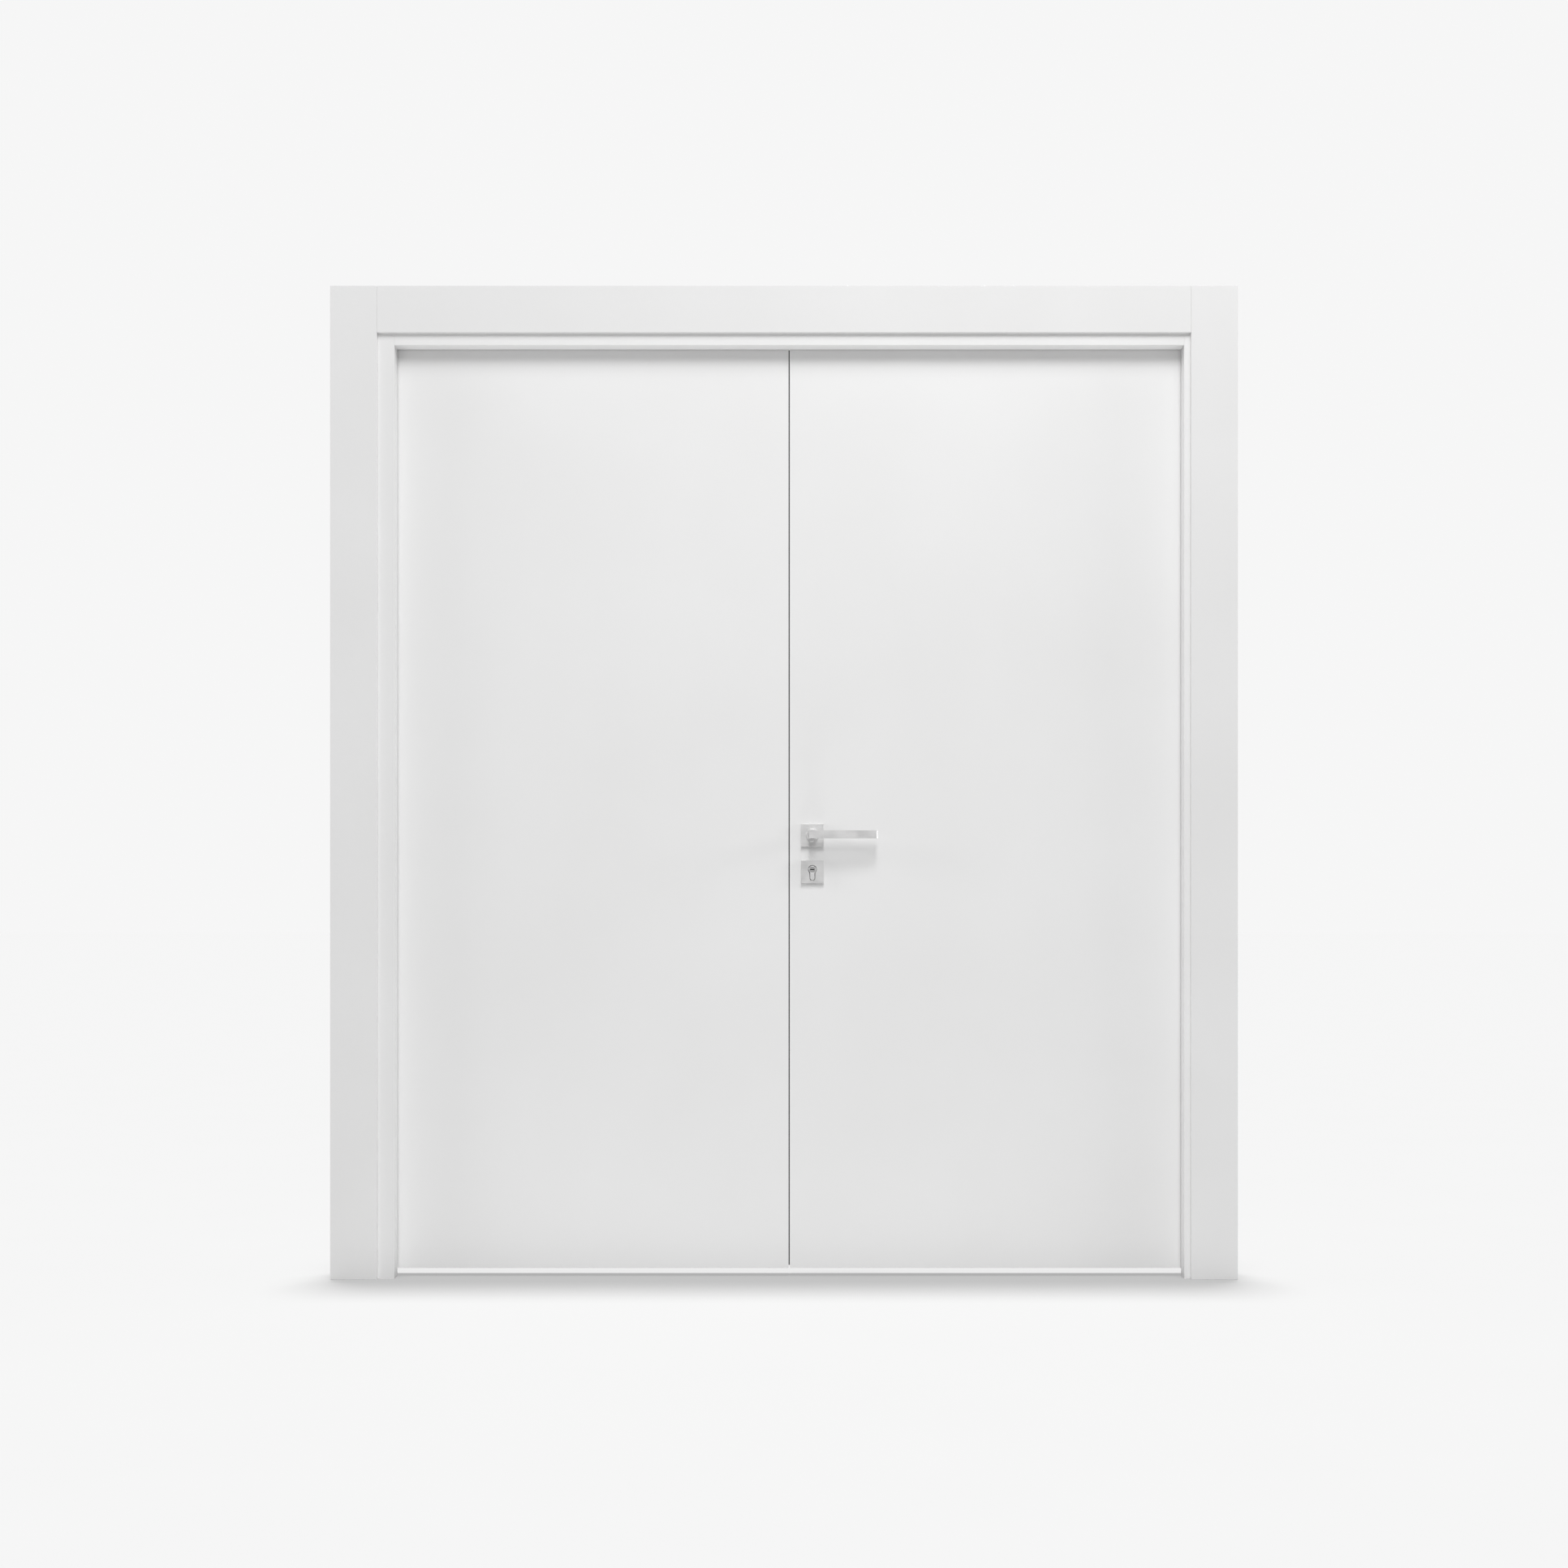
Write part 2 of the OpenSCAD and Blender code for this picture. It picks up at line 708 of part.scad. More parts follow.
module active_hinge_stile() { color(timber) on_side(1) hinge_stile(); }
module active_top_rail() { color(timber) on_side(1) rail(leaf_z1 - top_rail_h, leaf_z1); }
module active_bottom_rail() { color(timber) on_side(1) rail(leaf_z0, leaf_z0 + bottom_rail_h); }
module active_core() { color(board) on_side(1) core(); }
module active_leaf_hinges() { color(steel) on_side(1) leaf_hinges(); }

module leaf_screws() {
  at_hinges() translate([leaf_x1, 0, 0]) at_hinge_screws() against_x() screw(screw_len);
}

module active_hinge_screws() { color(steel) on_side(1) leaf_screws(); }

module at_forend_screws() {
  for (z = [handle_z + forend_up - forend_screw_in, handle_z - forend_down + forend_screw_in])
    translate([leaf_x0, 0, z]) along_x() children();
}

module active_lock_stile() {
  color(timber) on_side(1) difference() {
    box([leaf_x0, -core_y, leaf_z0], [leaf_x0 + meet_stile_w, core_y, leaf_z1]);
    box([leaf_x0 - cut, -forend_w / 2, handle_z - forend_down],
        [leaf_x0 + forend_t, forend_w / 2, handle_z + forend_up]);
    box([leaf_x0 - cut, -case_y - case_play, handle_z - case_down - case_play],
        [leaf_x0 + case_d + case_play, case_y + case_play, handle_z + case_up + case_play]);
    lock_holes();
    at_forend_screws() screw_hole(screw_len);
  }
}

module lock_case() {
  color(steel) on_side(1) difference() {
    box([leaf_x0 + forend_t, -case_y, handle_z - case_down],
        [leaf_x0 + case_d, case_y, handle_z + case_up]);
    box([leaf_x0, -case_y + case_wall, handle_z - case_down + case_wall],
        [leaf_x0 + case_d - case_wall, case_y - case_wall, handle_z + case_up - case_wall]);
    translate([handle_x, 0, handle_z]) bar_y_round(hub_r + hub_clear, -case_y - cut, case_y + cut);
    translate([handle_x, 0, cyl_z]) cylinder_bar(cyl_play, -case_y - cut, case_y + cut);
  }
}

module bolt_slot(z, h, gap, x0, x1) {
  box([x0, -bolt_y - gap, z - h / 2 - gap], [x1, bolt_y + gap, z + h / 2 + gap]);
}

module lock_forend() {
  color(satin) on_side(1) difference() {
    box([leaf_x0, -forend_w / 2, handle_z - forend_down],
        [leaf_x0 + forend_t, forend_w / 2, handle_z + forend_up]);
    bolt_slot(latch_z, latch_h, bolt_gap, leaf_x0 - cut, leaf_x0 + forend_t + cut);
    bolt_slot(dead_z, dead_h, bolt_gap, leaf_x0 - cut, leaf_x0 + forend_t + cut);
    at_forend_screws() screw_hole(screw_len);
    translate([leaf_x0, 0, fix_z]) along_x() fix_screw_hole();
  }
}

// Screw from the forend into the bridge of the cylinder
module fix_screw() {
  cylinder(r1 = screw_head_r, r2 = fix_r, h = screw_head_h);
  cylinder(r = fix_r, h = backset + cyl_tail_w / 4);
}

module fix_screw_hole() {
  translate([0, 0, -cut]) cylinder(r = screw_head_r + screw_play, h = cut);
  cylinder(r1 = screw_head_r + screw_play, r2 = fix_r + screw_play, h = screw_head_h);
  cylinder(r = fix_r + screw_play, h = backset + cyl_tail_w / 4 + screw_play);
}

module lock_screws() {
  color(steel) on_side(1) {
    at_forend_screws() screw(screw_len);
    translate([leaf_x0, 0, fix_z]) along_x() fix_screw();
  }
}

// Roses: s is -1 at the front and 1 at the rear
module handle_rose(s) {
  low = s > 0 ? face_y : -rose_y;
  tip = s > 0 ? rose_y : -rose_y - collar_h;
  translate([handle_x, 0, handle_z]) difference() {
    union() {
      box([-rose_w / 2, low, -rose_w / 2], [rose_w / 2, low + rose_t, rose_w / 2]);
      bar_y_round(collar_r, tip, tip + collar_h);
    }
    bar_y_round(neck_r + neck_clear, low - collar_h - cut, low + rose_t + collar_h + cut);
  }
}

module cylinder_rose(s) {
  low = s > 0 ? face_y : -rose_y;
  translate([handle_x, 0, cyl_z]) difference() {
    box([-rose_w / 2, low, -rose_w / 2 - rose_drop], [rose_w / 2, low + rose_t, rose_w / 2 - rose_drop]);
    cylinder_bar(cyl_ring, low - cut, low + rose_t + cut);
  }
}

module front_handle_rose() { color(satin) on_side(1) handle_rose(-1); }
module rear_handle_rose() { color(satin) on_side(1) handle_rose(1); }
module front_cylinder_rose() { color(satin) on_side(1) cylinder_rose(-1); }
module rear_cylinder_rose() { color(satin) on_side(1) cylinder_rose(1); }

module cylinder_body() {
  color(satin) on_side(1) difference() {
    translate([handle_x, 0, cyl_z]) difference() {
      cylinder_bar(0, -cyl_y, cyl_y);
      bar_y_round(plug_bore_r, -cyl_y - cut, cyl_y + cut);
      box([-2 * cyl_r, -body_gap_y, bridge_h - cyl_tail], [2 * cyl_r, body_gap_y, 2 * cyl_r]);
    }
    translate([leaf_x0, 0, fix_z]) along_x() fix_screw_hole();
  }
}

// Handle: the levers turn the follower through the square spindle

module lever(s) {
  near = face_y - neck_in;
  socket = spindle_w / 2 + spindle_play;
  translate([handle_x, 0, handle_z]) difference() {
    union() {
      bar_y_round(neck_r, s > 0 ? near : -bar_y, s > 0 ? bar_y : -near);
      translate([0, 0, -lever_h / 2]) linear_extrude(lever_h) polygon([
        [-lever_tail, s * bar_y], [lever_reach, s * bar_y], [lever_reach, s * (lever_y - lever_bevel)],
        [lever_reach - lever_bevel, s * lever_y], [-lever_tail, s * lever_y]
      ]);
    }
    box([-socket, -spindle_y - spindle_room, -socket], [socket, spindle_y + spindle_room, socket]);
  }
}

module front_lever() { color(satin) on_side(1) lever(-1); }
module rear_lever() { color(satin) on_side(1) lever(1); }

module spindle() {
  color(steel) on_side(1) translate([handle_x, 0, handle_z])
    box([-spindle_w / 2, -spindle_y, -spindle_w / 2], [spindle_w / 2, spindle_y, spindle_w / 2]);
}

module follower() {
  socket = spindle_w / 2 + spindle_play;
  color(steel) on_side(1) translate([handle_x, 0, handle_z]) difference() {
    union() {
      bar_y_round(hub_r, -case_y, case_y);
      bar_y_round(follower_r, -case_in_y, case_in_y);
      box([-arm_w / 2, -case_in_y, 0], [arm_w / 2, -case_gap / 2, arm_h]);
    }
    box([-socket, -case_y - cut, -socket], [socket, case_y + cut, socket]);
  }
}

// Key side of the cylinder

module key_plug() {
  color(satin) on_side(1) translate([handle_x, 0, cyl_z]) difference() {
    bar_y_round(plug_r, -cyl_y, -cam_y);
    box([-key_w / 2, -cyl_y - cut, -key_h / 2], [key_w / 2, key_d - cyl_y, key_h / 2]);
  }
}

module lock_cam() {
  color(steel) on_side(1) translate([handle_x, 0, cyl_z]) {
    bar_y_round(cam_r, -cam_y, cam_y);
    box([0, -cam_y, -finger_w / 2], [finger_reach, cam_y, finger_w / 2]);
  }
}

module thumb_turn() {
  grip_y = rose_y + turn_gap;
  round_x = (turn_w - turn_t) / 2;
  color(satin) on_side(1) translate([handle_x, 0, cyl_z]) {
    bar_y_round(plug_r, cam_y, grip_y + cut);
    box([-turn_t / 2, grip_y, -round_x], [turn_t / 2, grip_y + turn_d, round_x]);
    for (s = [-1, 1]) translate([0, 0, s * round_x]) bar_y_round(turn_t / 2, grip_y, grip_y + turn_d);
  }
}

// Bolts of the lock, drawn back

module latch_bolt() {
  hook = handle_x + hook_x;
  color(steel) on_side(1) {
    box([bolt_x0, -bolt_y, latch_z - latch_h / 2], [bolt_x0 + latch_len, bolt_y, latch_z + latch_h / 2]);
    box([bolt_x0 + latch_len - cut, -bolt_y, handle_z + latch_tail_up],
        [hook + hook_t, bolt_y, handle_z + latch_tail_up + latch_tail_h]);
    box([hook, case_gap / 2, handle_z + hook_up], [hook + hook_t, bolt_y, handle_z + latch_tail_up + cut]);
  }
}

module dead_bolt() {
  color(steel) on_side(1) {
    box([bolt_x0, -bolt_y, dead_z - dead_h / 2], [bolt_x0 + dead_len, bolt_y, dead_z + dead_h / 2]);
    box([bolt_x0 + dead_len - cut, -bolt_y, dead_z - dead_tail_h / 2],
        [bolt_x0 + dead_len + dead_tail_len, bolt_y, dead_z + dead_tail_h / 2]);
  }
}

// Inactive leaf, at the left

module inactive_front_skin() { color(paint) on_side(-1) skin(-face_y); }

module inactive_rear_skin() {
  color(paint) on_side(-1) difference() {
    skin(core_y);
    hinge_plate_cuts();
  }
}

module inactive_hinge_stile() { color(timber) on_side(-1) hinge_stile(); }
module inactive_top_rail() { color(timber) on_side(-1) rail(leaf_z1 - top_rail_h, leaf_z1); }
module inactive_bottom_rail() { color(timber) on_side(-1) rail(leaf_z0, leaf_z0 + bottom_rail_h); }
module inactive_core() { color(board) on_side(-1) core(); }
module inactive_leaf_hinges() { color(steel) on_side(-1) leaf_hinges(); }
module inactive_hinge_screws() { color(steel) on_side(-1) leaf_screws(); }

module at_strike_screws() {
  for (z = [handle_z + strike_up - strike_screw_in, handle_z - strike_down + strike_screw_in])
    translate([leaf_x0, 0, z]) along_x() children();
}

module at_flush_screws() {
  for (z = [flush_z0 + flush_screw_in, flush_z1 - flush_screw_in])
    translate([leaf_x0, 0, z]) along_x() children();
}

// Slot that a finger tab travels in
module tab_slot(x0, x1) {
  box([x0, -tab_w / 2 - tab_gap, tab_z - tab_h / 2 - tab_gap],
      [x1, tab_w / 2 + tab_gap, tab_z + tab_h / 2 + flush_throw + tab_gap]);
}

module inactive_meeting_stile() {
  color(timber) on_side(-1) difference() {
    box([leaf_x0, -core_y, leaf_z0], [leaf_x0 + meet_stile_w, core_y, leaf_z1]);
    box([leaf_x0 - cut, -strike_w / 2, handle_z - strike_down],
        [leaf_x0 + edge_plate_t, strike_w / 2, handle_z + strike_up]);
    bolt_slot(latch_z, latch_h, strike_gap, leaf_x0 - cut, leaf_x0 + latch_pocket_d);
    bolt_slot(dead_z, dead_h, strike_gap, leaf_x0 - cut, leaf_x0 + dead_pocket_d);
    at_strike_screws() screw_hole(screw_len);
    box([leaf_x0 - cut, meet_seal_y - groove_w / 2, leaf_z0 - cut],
        [leaf_x0 + groove_d, meet_seal_y + groove_w / 2, leaf_z1 + cut]);
    for (s = [-1, 1]) on_end(s) {
      box([leaf_x0 - cut, -flush_w / 2, flush_z0], [leaf_x0 + edge_plate_t, flush_w / 2, flush_z1]);
      tab_slot(leaf_x0 - cut, rod_x);
      translate([rod_x, 0, leaf_z1 - rod_len - rod_back])
        cylinder(r = rod_r + rod_play, h = rod_len + rod_back + cut);
      at_flush_screws() screw_hole(short_screw_len);
    }
  }
}

module strike_plate() {
  color(satin) on_side(-1) difference() {
    box([leaf_x0, -strike_w / 2, handle_z - strike_down],
        [leaf_x0 + edge_plate_t, strike_w / 2, handle_z + strike_up]);
    bolt_slot(latch_z, latch_h, strike_gap, leaf_x0 - cut, leaf_x0 + edge_plate_t + cut);
    bolt_slot(dead_z, dead_h, strike_gap, leaf_x0 - cut, leaf_x0 + edge_plate_t + cut);
    at_strike_screws() screw_hole(screw_len);
  }
}

module flush_bolt_plates() {
  color(satin) on_side(-1) for (s = [-1, 1]) on_end(s) difference() {
    box([leaf_x0, -flush_w / 2, flush_z0], [leaf_x0 + edge_plate_t, flush_w / 2, flush_z1]);
    tab_slot(leaf_x0 - cut, leaf_x0 + edge_plate_t + cut);
    at_flush_screws() screw_hole(short_screw_len);
  }
}

module meeting_edge_screws() {
  color(steel) on_side(-1) {
    at_strike_screws() screw(screw_len);
    for (s = [-1, 1]) on_end(s) at_flush_screws() screw(short_screw_len);
  }
}

module meeting_seal() {
  color(dark_rubber) on_side(-1) {
    box([leaf_x0 - meet_seal_h, meet_seal_y - meet_seal_w / 2, leaf_z0 + meet_seal_end],
        [leaf_x0, meet_seal_y + meet_seal_w / 2, leaf_z1 - meet_seal_end]);
    box([leaf_x0 - cut, meet_seal_y - stem_w / 2, leaf_z0 + meet_seal_end],
        [leaf_x0 + stem_d, meet_seal_y + stem_w / 2, leaf_z1 - meet_seal_end]);
  }
}

// Rod with its finger tab, drawn back
module flush_bolt() {
  translate([rod_x, 0, leaf_z1 - rod_len]) cylinder(r = rod_r, h = rod_len - rod_back);
  box([leaf_x0 + tab_back, -tab_w / 2, tab_z - tab_h / 2], [rod_x, tab_w / 2, tab_z + tab_h / 2]);
}

module top_flush_bolt() { color(steel) on_side(-1) on_end(1) flush_bolt(); }
module bottom_flush_bolt() { color(steel) on_side(-1) on_end(-1) flush_bolt(); }

left_jamb();
right_jamb();
head_jamb();
head_lining();
front_left_casing();
front_right_casing();
front_head_casing();
rear_left_casing();
rear_right_casing();
rear_head_casing();
left_seal();
right_seal();
head_seal();
left_frame_hinges();
right_frame_hinges();
hinge_pins();
frame_screws();
head_keep();
active_front_skin();
active_rear_skin();
active_hinge_stile();
active_lock_stile();
active_top_rail();
active_bottom_rail();
active_core();
active_leaf_hinges();
active_hinge_screws();
lock_case();
lock_forend();
lock_screws();
front_handle_rose();
rear_handle_rose();
front_cylinder_rose();
rear_cylinder_rose();
cylinder_body();
front_lever();
rear_lever();
spindle();
follower();
key_plug();
lock_cam();
thumb_turn();
latch_bolt();
dead_bolt();
inactive_front_skin();
inactive_rear_skin();
inactive_hinge_stile();
inactive_meeting_stile();
inactive_top_rail();
inactive_bottom_rail();
inactive_core();
inactive_leaf_hinges();
inactive_hinge_screws();
strike_plate();
flush_bolt_plates();
meeting_edge_screws();
meeting_seal();
top_flush_bolt();
bottom_flush_bolt();
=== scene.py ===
import math

import bpy
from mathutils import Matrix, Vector

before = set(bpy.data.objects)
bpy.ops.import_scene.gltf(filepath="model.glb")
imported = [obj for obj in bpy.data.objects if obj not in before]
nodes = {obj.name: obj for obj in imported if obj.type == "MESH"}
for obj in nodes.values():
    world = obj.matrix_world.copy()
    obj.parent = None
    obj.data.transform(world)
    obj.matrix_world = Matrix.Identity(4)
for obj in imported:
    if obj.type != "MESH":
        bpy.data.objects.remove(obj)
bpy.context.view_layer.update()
print("frame loaded with", len(nodes), "nodes")


class Wire:  # one output socket; sums on it add Math nodes
    def __init__(self, finish, socket):
        self.finish = finish
        self.socket = socket

    def __add__(self, other):
        return self.finish.sum("ADD", self, other)

    def __radd__(self, other):
        return self.finish.sum("ADD", other, self)

    def __sub__(self, other):
        return self.finish.sum("SUBTRACT", self, other)

    def __rsub__(self, other):
        return self.finish.sum("SUBTRACT", other, self)

    def __mul__(self, other):
        return self.finish.sum("MULTIPLY", self, other)

    def __rmul__(self, other):
        return self.finish.sum("MULTIPLY", other, self)


class Finish:  # the nodes of a material or of the world
    def __init__(self, owner):
        self.owner = owner
        owner.use_nodes = True
        self.tree = owner.node_tree
        self.tree.nodes.clear()
        self.place = None

    def node(self, kind, settings=None, inputs=None, out=0):
        made = self.tree.nodes.new(kind)
        for key, value in (settings or {}).items():
            setattr(made, key, value)
        for key, value in (inputs or {}).items():
            if isinstance(value, Wire):
                self.tree.links.new(value.socket, made.inputs[key])
            else:
                made.inputs[key].default_value = value
        return Wire(self, made.outputs[out]) if made.outputs else None

    def sum(self, operation, first, second):
        return self.node("ShaderNodeMath", {"operation": operation}, {0: first, 1: second})

    def at(self, stretch=(1, 1, 1)):  # place on the piece, in metres, stretched per axis
        if self.place is None:
            self.place = self.node("ShaderNodeTexCoord", out="Object")
        return self.node("ShaderNodeMapping", inputs={"Vector": self.place, "Scale": stretch})

    def noise(self, size, detail=2.0, stretch=(1, 1, 1), rough=0.5):  # 0 to 1, lumps of that size in metres
        return self.node("ShaderNodeTexNoise", inputs={
            "Vector": self.at(stretch), "Scale": 1 / size, "Detail": detail, "Roughness": rough}, out="Fac")

    def ramp(self, value, low, high):  # 0 at low, 1 at high
        return self.node("ShaderNodeMapRange", {"clamp": True}, {
            "Value": value, "From Min": low, "From Max": high})

    def blend(self, amount, first, second):
        return self.node("ShaderNodeMix", {"data_type": "RGBA"}, {0: amount, 6: first, 7: second}, out=2)

    def relief(self, height):  # bump from a height in metres
        return self.node("ShaderNodeBump", inputs={"Strength": 1.0, "Distance": 1.0, "Height": height})

    def close(self, **sockets):
        body = self.node("ShaderNodeBsdfPrincipled", inputs={
            name.replace("_", " "): value for name, value in sockets.items()})
        self.node("ShaderNodeOutputMaterial", inputs={"Surface": body})
        return self.owner


def newFinish(name):
    return Finish(bpy.data.materials.new(name))


def rgb(level, warm=0.0):  # a grey or near-white of that level, warmer or cooler
    return (level * (1 + warm), level, level * (1 - warm), 1)


leafPaint = {
    "name": "leafPaint", "light": rgb(0.83), "dark": rgb(0.80, 0.002), "gloss": 0.40, "cloud": 0.55,
    "stipple": 0.0022, "stippleDepth": 0.000035, "peel": 0.011, "peelDepth": 0.00005,
}
casingPaint = {
    "name": "casingPaint", "light": rgb(0.775), "dark": rgb(0.745, 0.002), "gloss": 0.42, "cloud": 0.40,
    "stipple": 0.0018, "stippleDepth": 0.00003, "peel": 0.009, "peelDepth": 0.00005,
}
jambPaint = dict(casingPaint, name="jambPaint", light=rgb(0.815), dark=rgb(0.785, 0.002))
paintWork = {  # the same on all the paint
    "cloudRange": (0.3, 0.7), "rub": 0.16, "rubStretch": (1, 1, 0.35), "rubRange": (0.35, 0.75), "glossPlay": 0.10,
}


def paintFinish(look):  # sprayed satin paint: faint clouds, fine stipple and a soft orange peel
    paint = newFinish(look["name"])
    cloud = paint.ramp(paint.noise(look["cloud"], 3.0), *paintWork["cloudRange"])
    stipple = paint.noise(look["stipple"], 2.0)
    peel = paint.noise(look["peel"], 1.5)
    rubbed = paint.ramp(paint.noise(paintWork["rub"], 4.0, paintWork["rubStretch"]), *paintWork["rubRange"])
    return paint.close(
        Base_Color=paint.blend(cloud, look["light"], look["dark"]),
        Roughness=look["gloss"] + (rubbed - 0.5) * paintWork["glossPlay"],
        Normal=paint.relief(stipple * look["stippleDepth"] + peel * look["peelDepth"]))


satinMetal = {
    "name": "satinMetal", "light": rgb(0.79, 0.004), "dark": rgb(0.71, 0.002), "gloss": 0.42, "glossPlay": 0.10,
    "brush": 0.0009, "stretch": (0.03, 1, 1), "brushDepth": 0.000012,
}
plugMetal = {
    "name": "plugMetal", "light": rgb(0.46, 0.004), "dark": rgb(0.38, 0.004), "gloss": 0.40, "glossPlay": 0.12,
    "brush": 0.0012, "stretch": (1, 0.1, 1), "brushDepth": 0.00001,
    "keyway": rgb(0.02), "keywayFrom": 0.0008, "keywayFade": 0.0004,  # painted shade: the plug is coloured black from this far behind its face, for the shadow inside the keyway
}
plainSteel = {
    "name": "plainSteel", "light": rgb(0.62, 0.002), "dark": rgb(0.52), "gloss": 0.34, "glossPlay": 0.14,
    "brush": 0.0011, "stretch": (1, 1, 0.04), "brushDepth": 0.00001,
}
metalWork = {  # the same on all the metal
    "patch": 0.03, "patchRange": (0.3, 0.7), "brushShare": 0.7, "patchShare": 0.3, "toneRange": (0.25, 0.75),
    "brushGloss": 0.08, "brushRough": 0.6,
}


def metalFinish(look, face=None):  # fine brushing one way and a cloudy sheen; face is the front of a key plug, behind which the plug gets painted shade
    metal = newFinish(look["name"])
    brush = metal.noise(look["brush"], 3.0, look["stretch"], metalWork["brushRough"])
    patch = metal.ramp(metal.noise(metalWork["patch"], 3.0), *metalWork["patchRange"])
    tone = metal.ramp(brush * metalWork["brushShare"] + patch * metalWork["patchShare"], *metalWork["toneRange"])
    colour = metal.blend(tone, look["dark"], look["light"])
    if face is not None:
        # painted shade: the plug turns black from a little behind its face, standing in for the shadow inside the
        # keyway
        inward = metal.node("ShaderNodeSeparateXYZ", inputs={"Vector": metal.at()}, out="Y")
        start = face + look["keywayFrom"]
        colour = metal.blend(metal.ramp(inward, start, start + look["keywayFade"]), colour, look["keyway"])
    sheen = look["gloss"] + (patch - 0.5) * look["glossPlay"]
    return metal.close(
        Base_Color=colour,
        Metallic=1.0,
        Roughness=sheen + (brush - 0.5) * metalWork["brushGloss"],
        Normal=metal.relief(brush * look["brushDepth"]))


greySeal = {"name": "greySeal", "light": rgb(0.62), "dark": rgb(0.54), "gloss": 0.62}
darkSeal = {"name": "darkSeal", "light": rgb(0.060), "dark": rgb(0.035), "gloss": 0.60}
sealWork = {
    "line": 0.0014, "lineStretch": (1, 1, 0.02), "lineDepth": 0.00004,
    "bloom": 0.05, "bloomRange": (0.35, 0.75), "bloomGloss": 0.15,
}


def sealFinish(look):  # extruded rubber: long draw lines and a dusty bloom
    rubber = newFinish(look["name"])
    lines = rubber.noise(sealWork["line"], 2.0, sealWork["lineStretch"])
    bloom = rubber.ramp(rubber.noise(sealWork["bloom"], 4.0), *sealWork["bloomRange"])
    return rubber.close(
        Base_Color=rubber.blend(bloom, look["dark"], look["light"]),
        Roughness=look["gloss"] + bloom * sealWork["bloomGloss"],
        Normal=rubber.relief(lines * sealWork["lineDepth"]))


rawBoard = {
    "name": "rawBoard", "light": (0.50, 0.36, 0.22, 1), "dark": (0.30, 0.20, 0.11, 1),
    "gloss": 0.82, "glossPlay": 0.1, "chipsPerMetre": 260.0, "chipStretch": (1, 1, 0.4), "chipDepth": 0.0002,
}


def boardFinish(look):  # pressed chips inside the leaves
    board = newFinish(look["name"])
    chips = board.node("ShaderNodeTexVoronoi", inputs={
        "Vector": board.at(look["chipStretch"]), "Scale": look["chipsPerMetre"]}, out="Color")
    fleck = board.node("ShaderNodeSeparateColor", inputs={"Color": chips}, out=0)
    return board.close(
        Base_Color=board.blend(fleck, look["dark"], look["light"]),
        Roughness=look["gloss"] + fleck * look["glossPlay"],
        Normal=board.relief(fleck * look["chipDepth"]))


plugFace = min(corner.co.y for corner in nodes["key_plug"].data.vertices)
finishes = {
    "leaf": paintFinish(leafPaint), "casing": paintFinish(casingPaint), "jamb": paintFinish(jambPaint),
    "satin": metalFinish(satinMetal), "plug": metalFinish(plugMetal, plugFace), "steel": metalFinish(plainSteel),
    "greySeal": sealFinish(greySeal), "darkSeal": sealFinish(darkSeal), "board": boardFinish(rawBoard),
}
print("finishes made:", len(finishes))

satinNodes = (
    "front_handle_rose", "rear_handle_rose", "front_cylinder_rose", "rear_cylinder_rose", "front_lever", "rear_lever",
    "thumb_turn", "cylinder_body", "lock_forend", "strike_plate", "flush_bolt_plates",
)
finishByEnding = (  # the first that fits; any other node is plain steel
    (satinNodes, "satin"), ("key_plug", "plug"), ("meeting_seal", "darkSeal"), ("_seal", "greySeal"),
    ("_core", "board"), ("_casing", "casing"), (("_jamb", "_lining"), "jamb"),
    (("_skin", "_stile", "_rail"), "leaf"),
)


def finishOf(name):
    for endings, kind in finishByEnding:
        if name.endswith(endings):
            return kind
    return "steel"


arris = {  # rounding of the edges, in metres
    "casing": 0.0010, "jamb": 0.0008, "leaf": 0.0006, "satin": 0.0008, "plug": 0.0003, "steel": 0.0003,
}
easing = {"joinWithin": 0.000005, "flatWithin": 0.2, "sharpFrom": 50, "steps": 3}  # metres, degrees


def soften(piece, width):  # eased edges on a node, as paint and polishing leave them
    weld = piece.modifiers.new("joinEdges", "WELD")
    weld.merge_threshold = easing["joinWithin"]
    flat = piece.modifiers.new("joinFlats", "DECIMATE")
    flat.decimate_type = "DISSOLVE"
    flat.angle_limit = math.radians(easing["flatWithin"])
    bevel = piece.modifiers.new("easedEdges", "BEVEL")
    bevel.width = width
    bevel.segments = easing["steps"]
    bevel.limit_method = "ANGLE"
    bevel.angle_limit = math.radians(easing["sharpFrom"])
    bevel.harden_normals = True
    bevel.use_clamp_overlap = True


for name, piece in nodes.items():
    kind = finishOf(name)
    piece.data.materials.clear()
    piece.data.materials.append(finishes[kind])
    if kind in arris:
        soften(piece, arris[kind])
print("nodes dressed:", len(nodes))

paperFloor = {"half": 400.0, "light": rgb(0.101), "dark": rgb(0.099), "fleck": 0.35, "gloss": 0.9, "glow": 0.40}


def makeFloor():
    half = paperFloor["half"]
    mesh = bpy.data.meshes.new("studioFloor")
    mesh.from_pydata([(-half, -half, 0), (half, -half, 0), (half, half, 0), (-half, half, 0)], [], [(0, 1, 2, 3)])
    floor = bpy.data.objects.new("studioFloor", mesh)
    bpy.context.collection.objects.link(floor)
    paper = newFinish("studioPaper")
    fleck = paper.noise(paperFloor["fleck"], 3.0)
    mesh.materials.append(paper.close(
        Base_Color=paper.blend(fleck, paperFloor["light"], paperFloor["dark"]),
        Roughness=paperFloor["gloss"], Specular_IOR_Level=0.0,
        Emission_Color=rgb(1.0), Emission_Strength=paperFloor["glow"]))
    return floor


def makeGroup(name, pieces):
    group = bpy.data.collections.new(name)
    for piece in pieces:
        group.objects.link(piece)
    return group


floor = makeFloor()
onlyFloor = makeGroup("onlyFloor", [floor])
onlyDoor = makeGroup("onlyDoor", nodes.values())
floor.light_linking.receiver_collection = onlyFloor  # its glow stays off the door
print("floor laid")

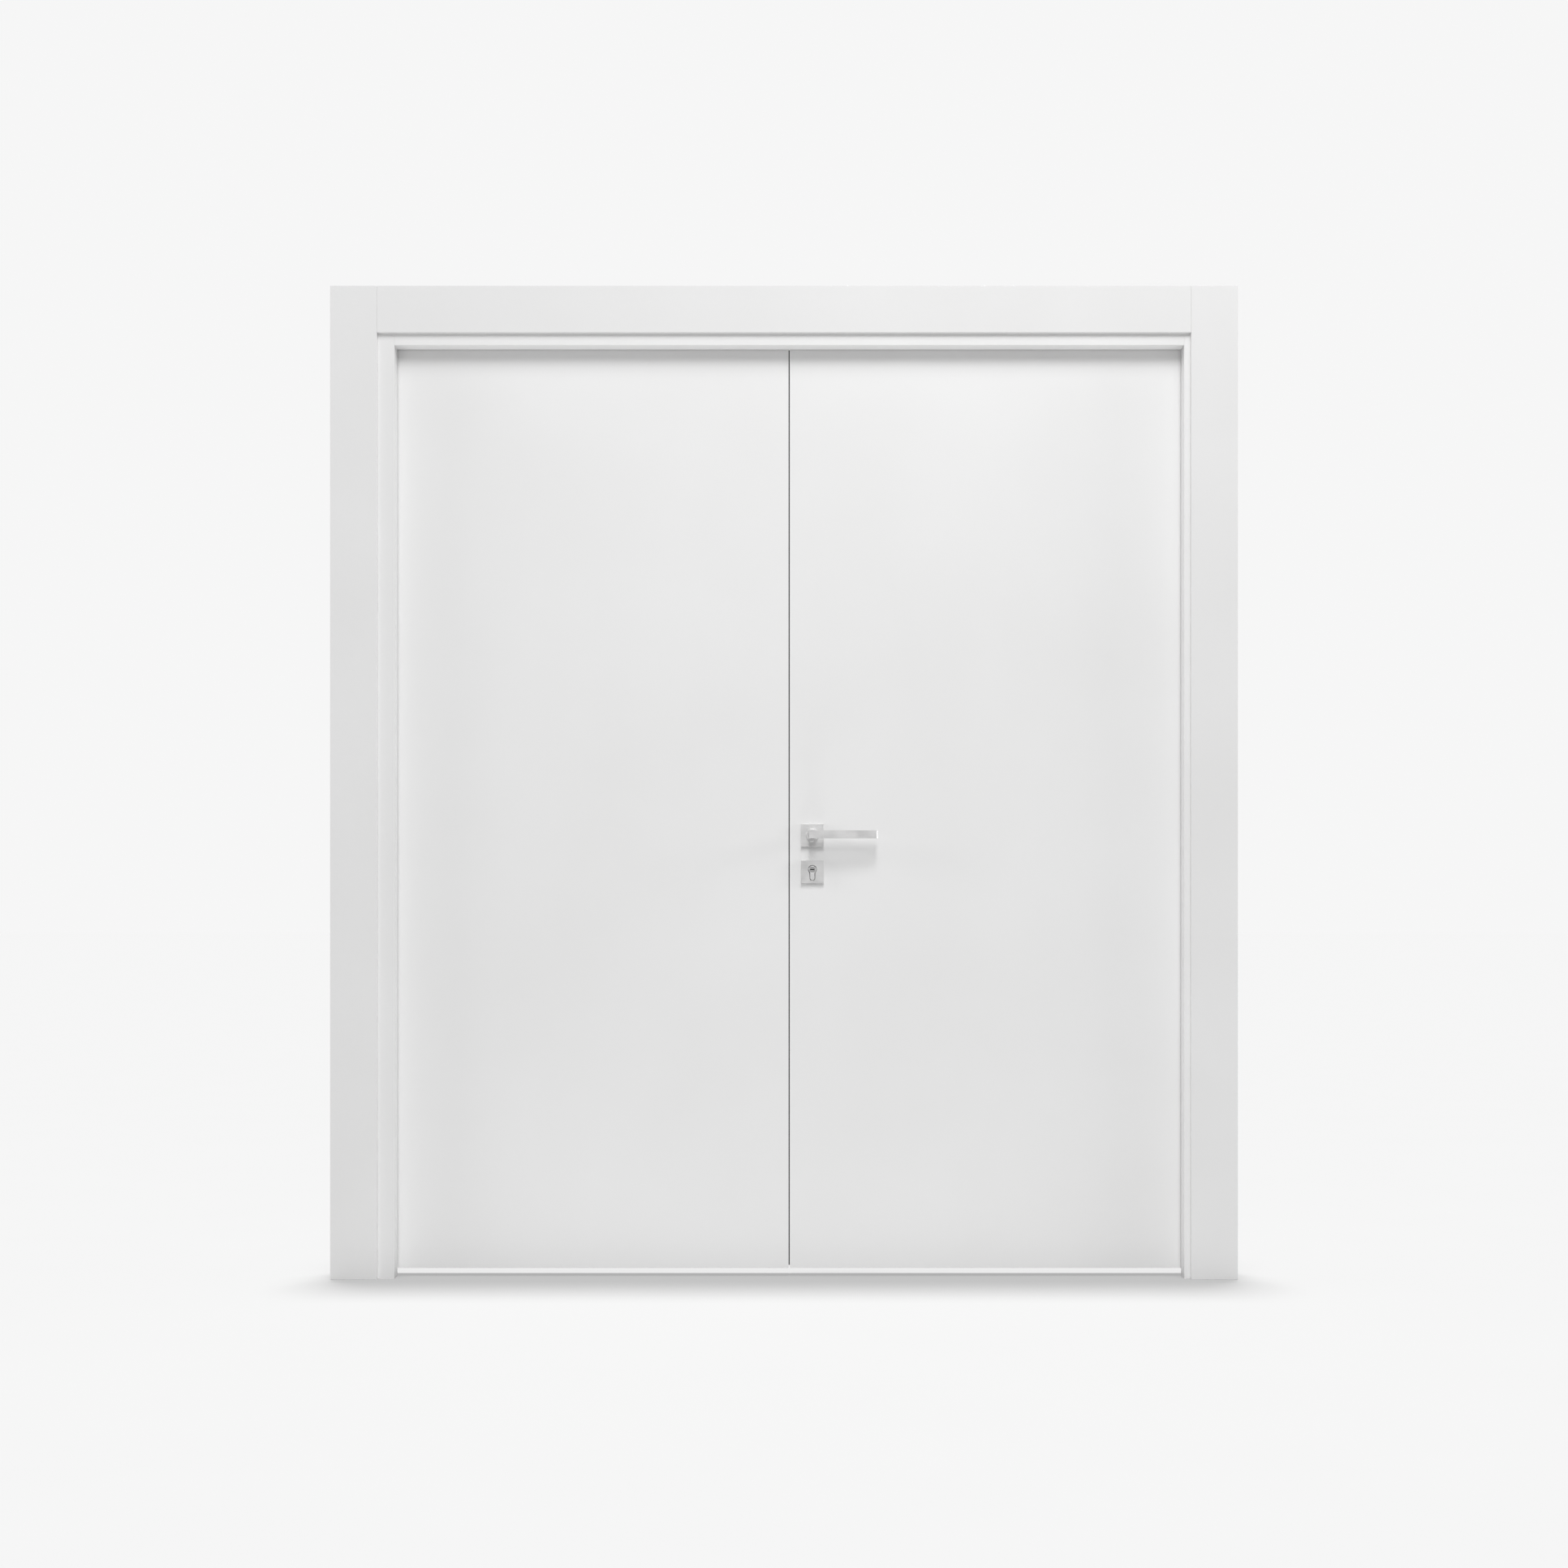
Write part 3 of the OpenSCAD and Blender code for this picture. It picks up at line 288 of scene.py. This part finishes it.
suns = {  # in degrees: ups from the floor, sides to the right of the viewer, and how wide the lamp looks
    "keySun": {"power": 0.275, "ups": (24, 31, 38, 45, 52), "sides": (1,), "spread": 9, "lit": onlyDoor},
    "edgeSun": {"power": 0.82, "ups": (14,), "sides": (-79, 79), "spread": 16, "lit": onlyDoor},
    "rearSun": {"power": 2.0, "ups": (38,), "sides": (165,), "spread": 20, "lit": onlyDoor},
    "frontTopSun": {"power": 3.25, "ups": (85.5,), "sides": (0,), "spread": 8, "lit": onlyFloor},
    "rearTopSun": {"power": 12.2, "ups": (85.5,), "sides": (180,), "spread": 8, "lit": onlyFloor},
    "underSun": {  # stands for light off the floor, so only the door stops it
        "power": 1.2, "ups": (-86,), "sides": (0,), "spread": 20, "lit": onlyDoor, "stoppedBy": onlyDoor},
}


def makeSun(name, lamp, up, side):
    sun = bpy.data.objects.new(name, bpy.data.lights.new(name, "SUN"))
    sun.data.energy = lamp["power"]
    sun.data.angle = math.radians(lamp["spread"])
    height, turn = math.radians(up), math.radians(side)
    flat = math.cos(height)
    towards = Vector((math.sin(turn) * flat, -math.cos(turn) * flat, math.sin(height)))
    sun.rotation_euler = towards.to_track_quat("Z", "Y").to_euler()
    bpy.context.collection.objects.link(sun)
    sun.light_linking.receiver_collection = lamp["lit"]
    if "stoppedBy" in lamp:
        sun.light_linking.blocker_collection = lamp["stoppedBy"]


for name, lamp in suns.items():
    for up in lamp["ups"]:
        for side in lamp["sides"]:
            makeSun(name, lamp, up, side)
print("suns set:", len(suns))

strips = {  # in metres; the wash hangs above the head, the skirt lies before the leaves
    "wash": {"power": 19.5, "at": (0.85, -2.2, 3.6), "aim": (0.2, 0.0, 1.6), "size": (2.4, 0.7)},
    "skirt": {"power": 0.48, "at": (0.0, -0.38, 0.035), "aim": (0.0, 0.0, 0.03), "size": (2.0, 0.05)},
}


def makeStrip(name, lamp):  # a wide strip light on the door
    strip = bpy.data.objects.new(name, bpy.data.lights.new(name, "AREA"))
    strip.data.shape = "RECTANGLE"
    strip.data.size, strip.data.size_y = lamp["size"]
    strip.data.energy = lamp["power"]
    strip.location = lamp["at"]
    away = Vector(lamp["at"]) - Vector(lamp["aim"])
    strip.rotation_euler = away.to_track_quat("Z", "Y").to_euler()
    strip.visible_camera = False
    bpy.context.collection.objects.link(strip)
    strip.light_linking.receiver_collection = onlyDoor


for name, lamp in strips.items():
    makeStrip(name, lamp)

dome = {"light": 0.28, "backdrop": 0.923}  # what it sheds, and how bright it is behind the door


def makeDome():
    world = bpy.data.worlds.new("paleDome")
    bpy.context.scene.world = world
    sky = Finish(world)
    shed = sky.node("ShaderNodeBackground", inputs={"Color": rgb(1.0), "Strength": dome["light"]})
    seen = sky.node("ShaderNodeBackground", inputs={"Color": rgb(1.0), "Strength": dome["backdrop"]})
    direct = sky.node("ShaderNodeLightPath", out="Is Camera Ray")
    both = sky.node("ShaderNodeMixShader", inputs={0: direct, 1: shed, 2: seen})
    sky.node("ShaderNodeOutputWorld", inputs={"Surface": both})


makeDome()
print("studio lit")

camera = {"at": (0.0, -5.3725, 0.80), "lens": 53.95, "sensor": 36.0, "shiftUp": 0.0896, "sees": 200}


def makeCamera():
    eye = bpy.data.objects.new("photoCamera", bpy.data.cameras.new("photoCamera"))
    eye.data.sensor_width = camera["sensor"]
    eye.data.lens = camera["lens"]
    eye.data.shift_y = camera["shiftUp"]
    eye.data.clip_end = camera["sees"]
    eye.location = camera["at"]
    eye.rotation_euler = (math.radians(90), 0, 0)
    bpy.context.collection.objects.link(eye)
    bpy.context.scene.camera = eye


makeCamera()
bpy.context.scene.view_settings.view_transform = "Standard"
bpy.context.scene.view_settings.look = "None"
print("camera set")
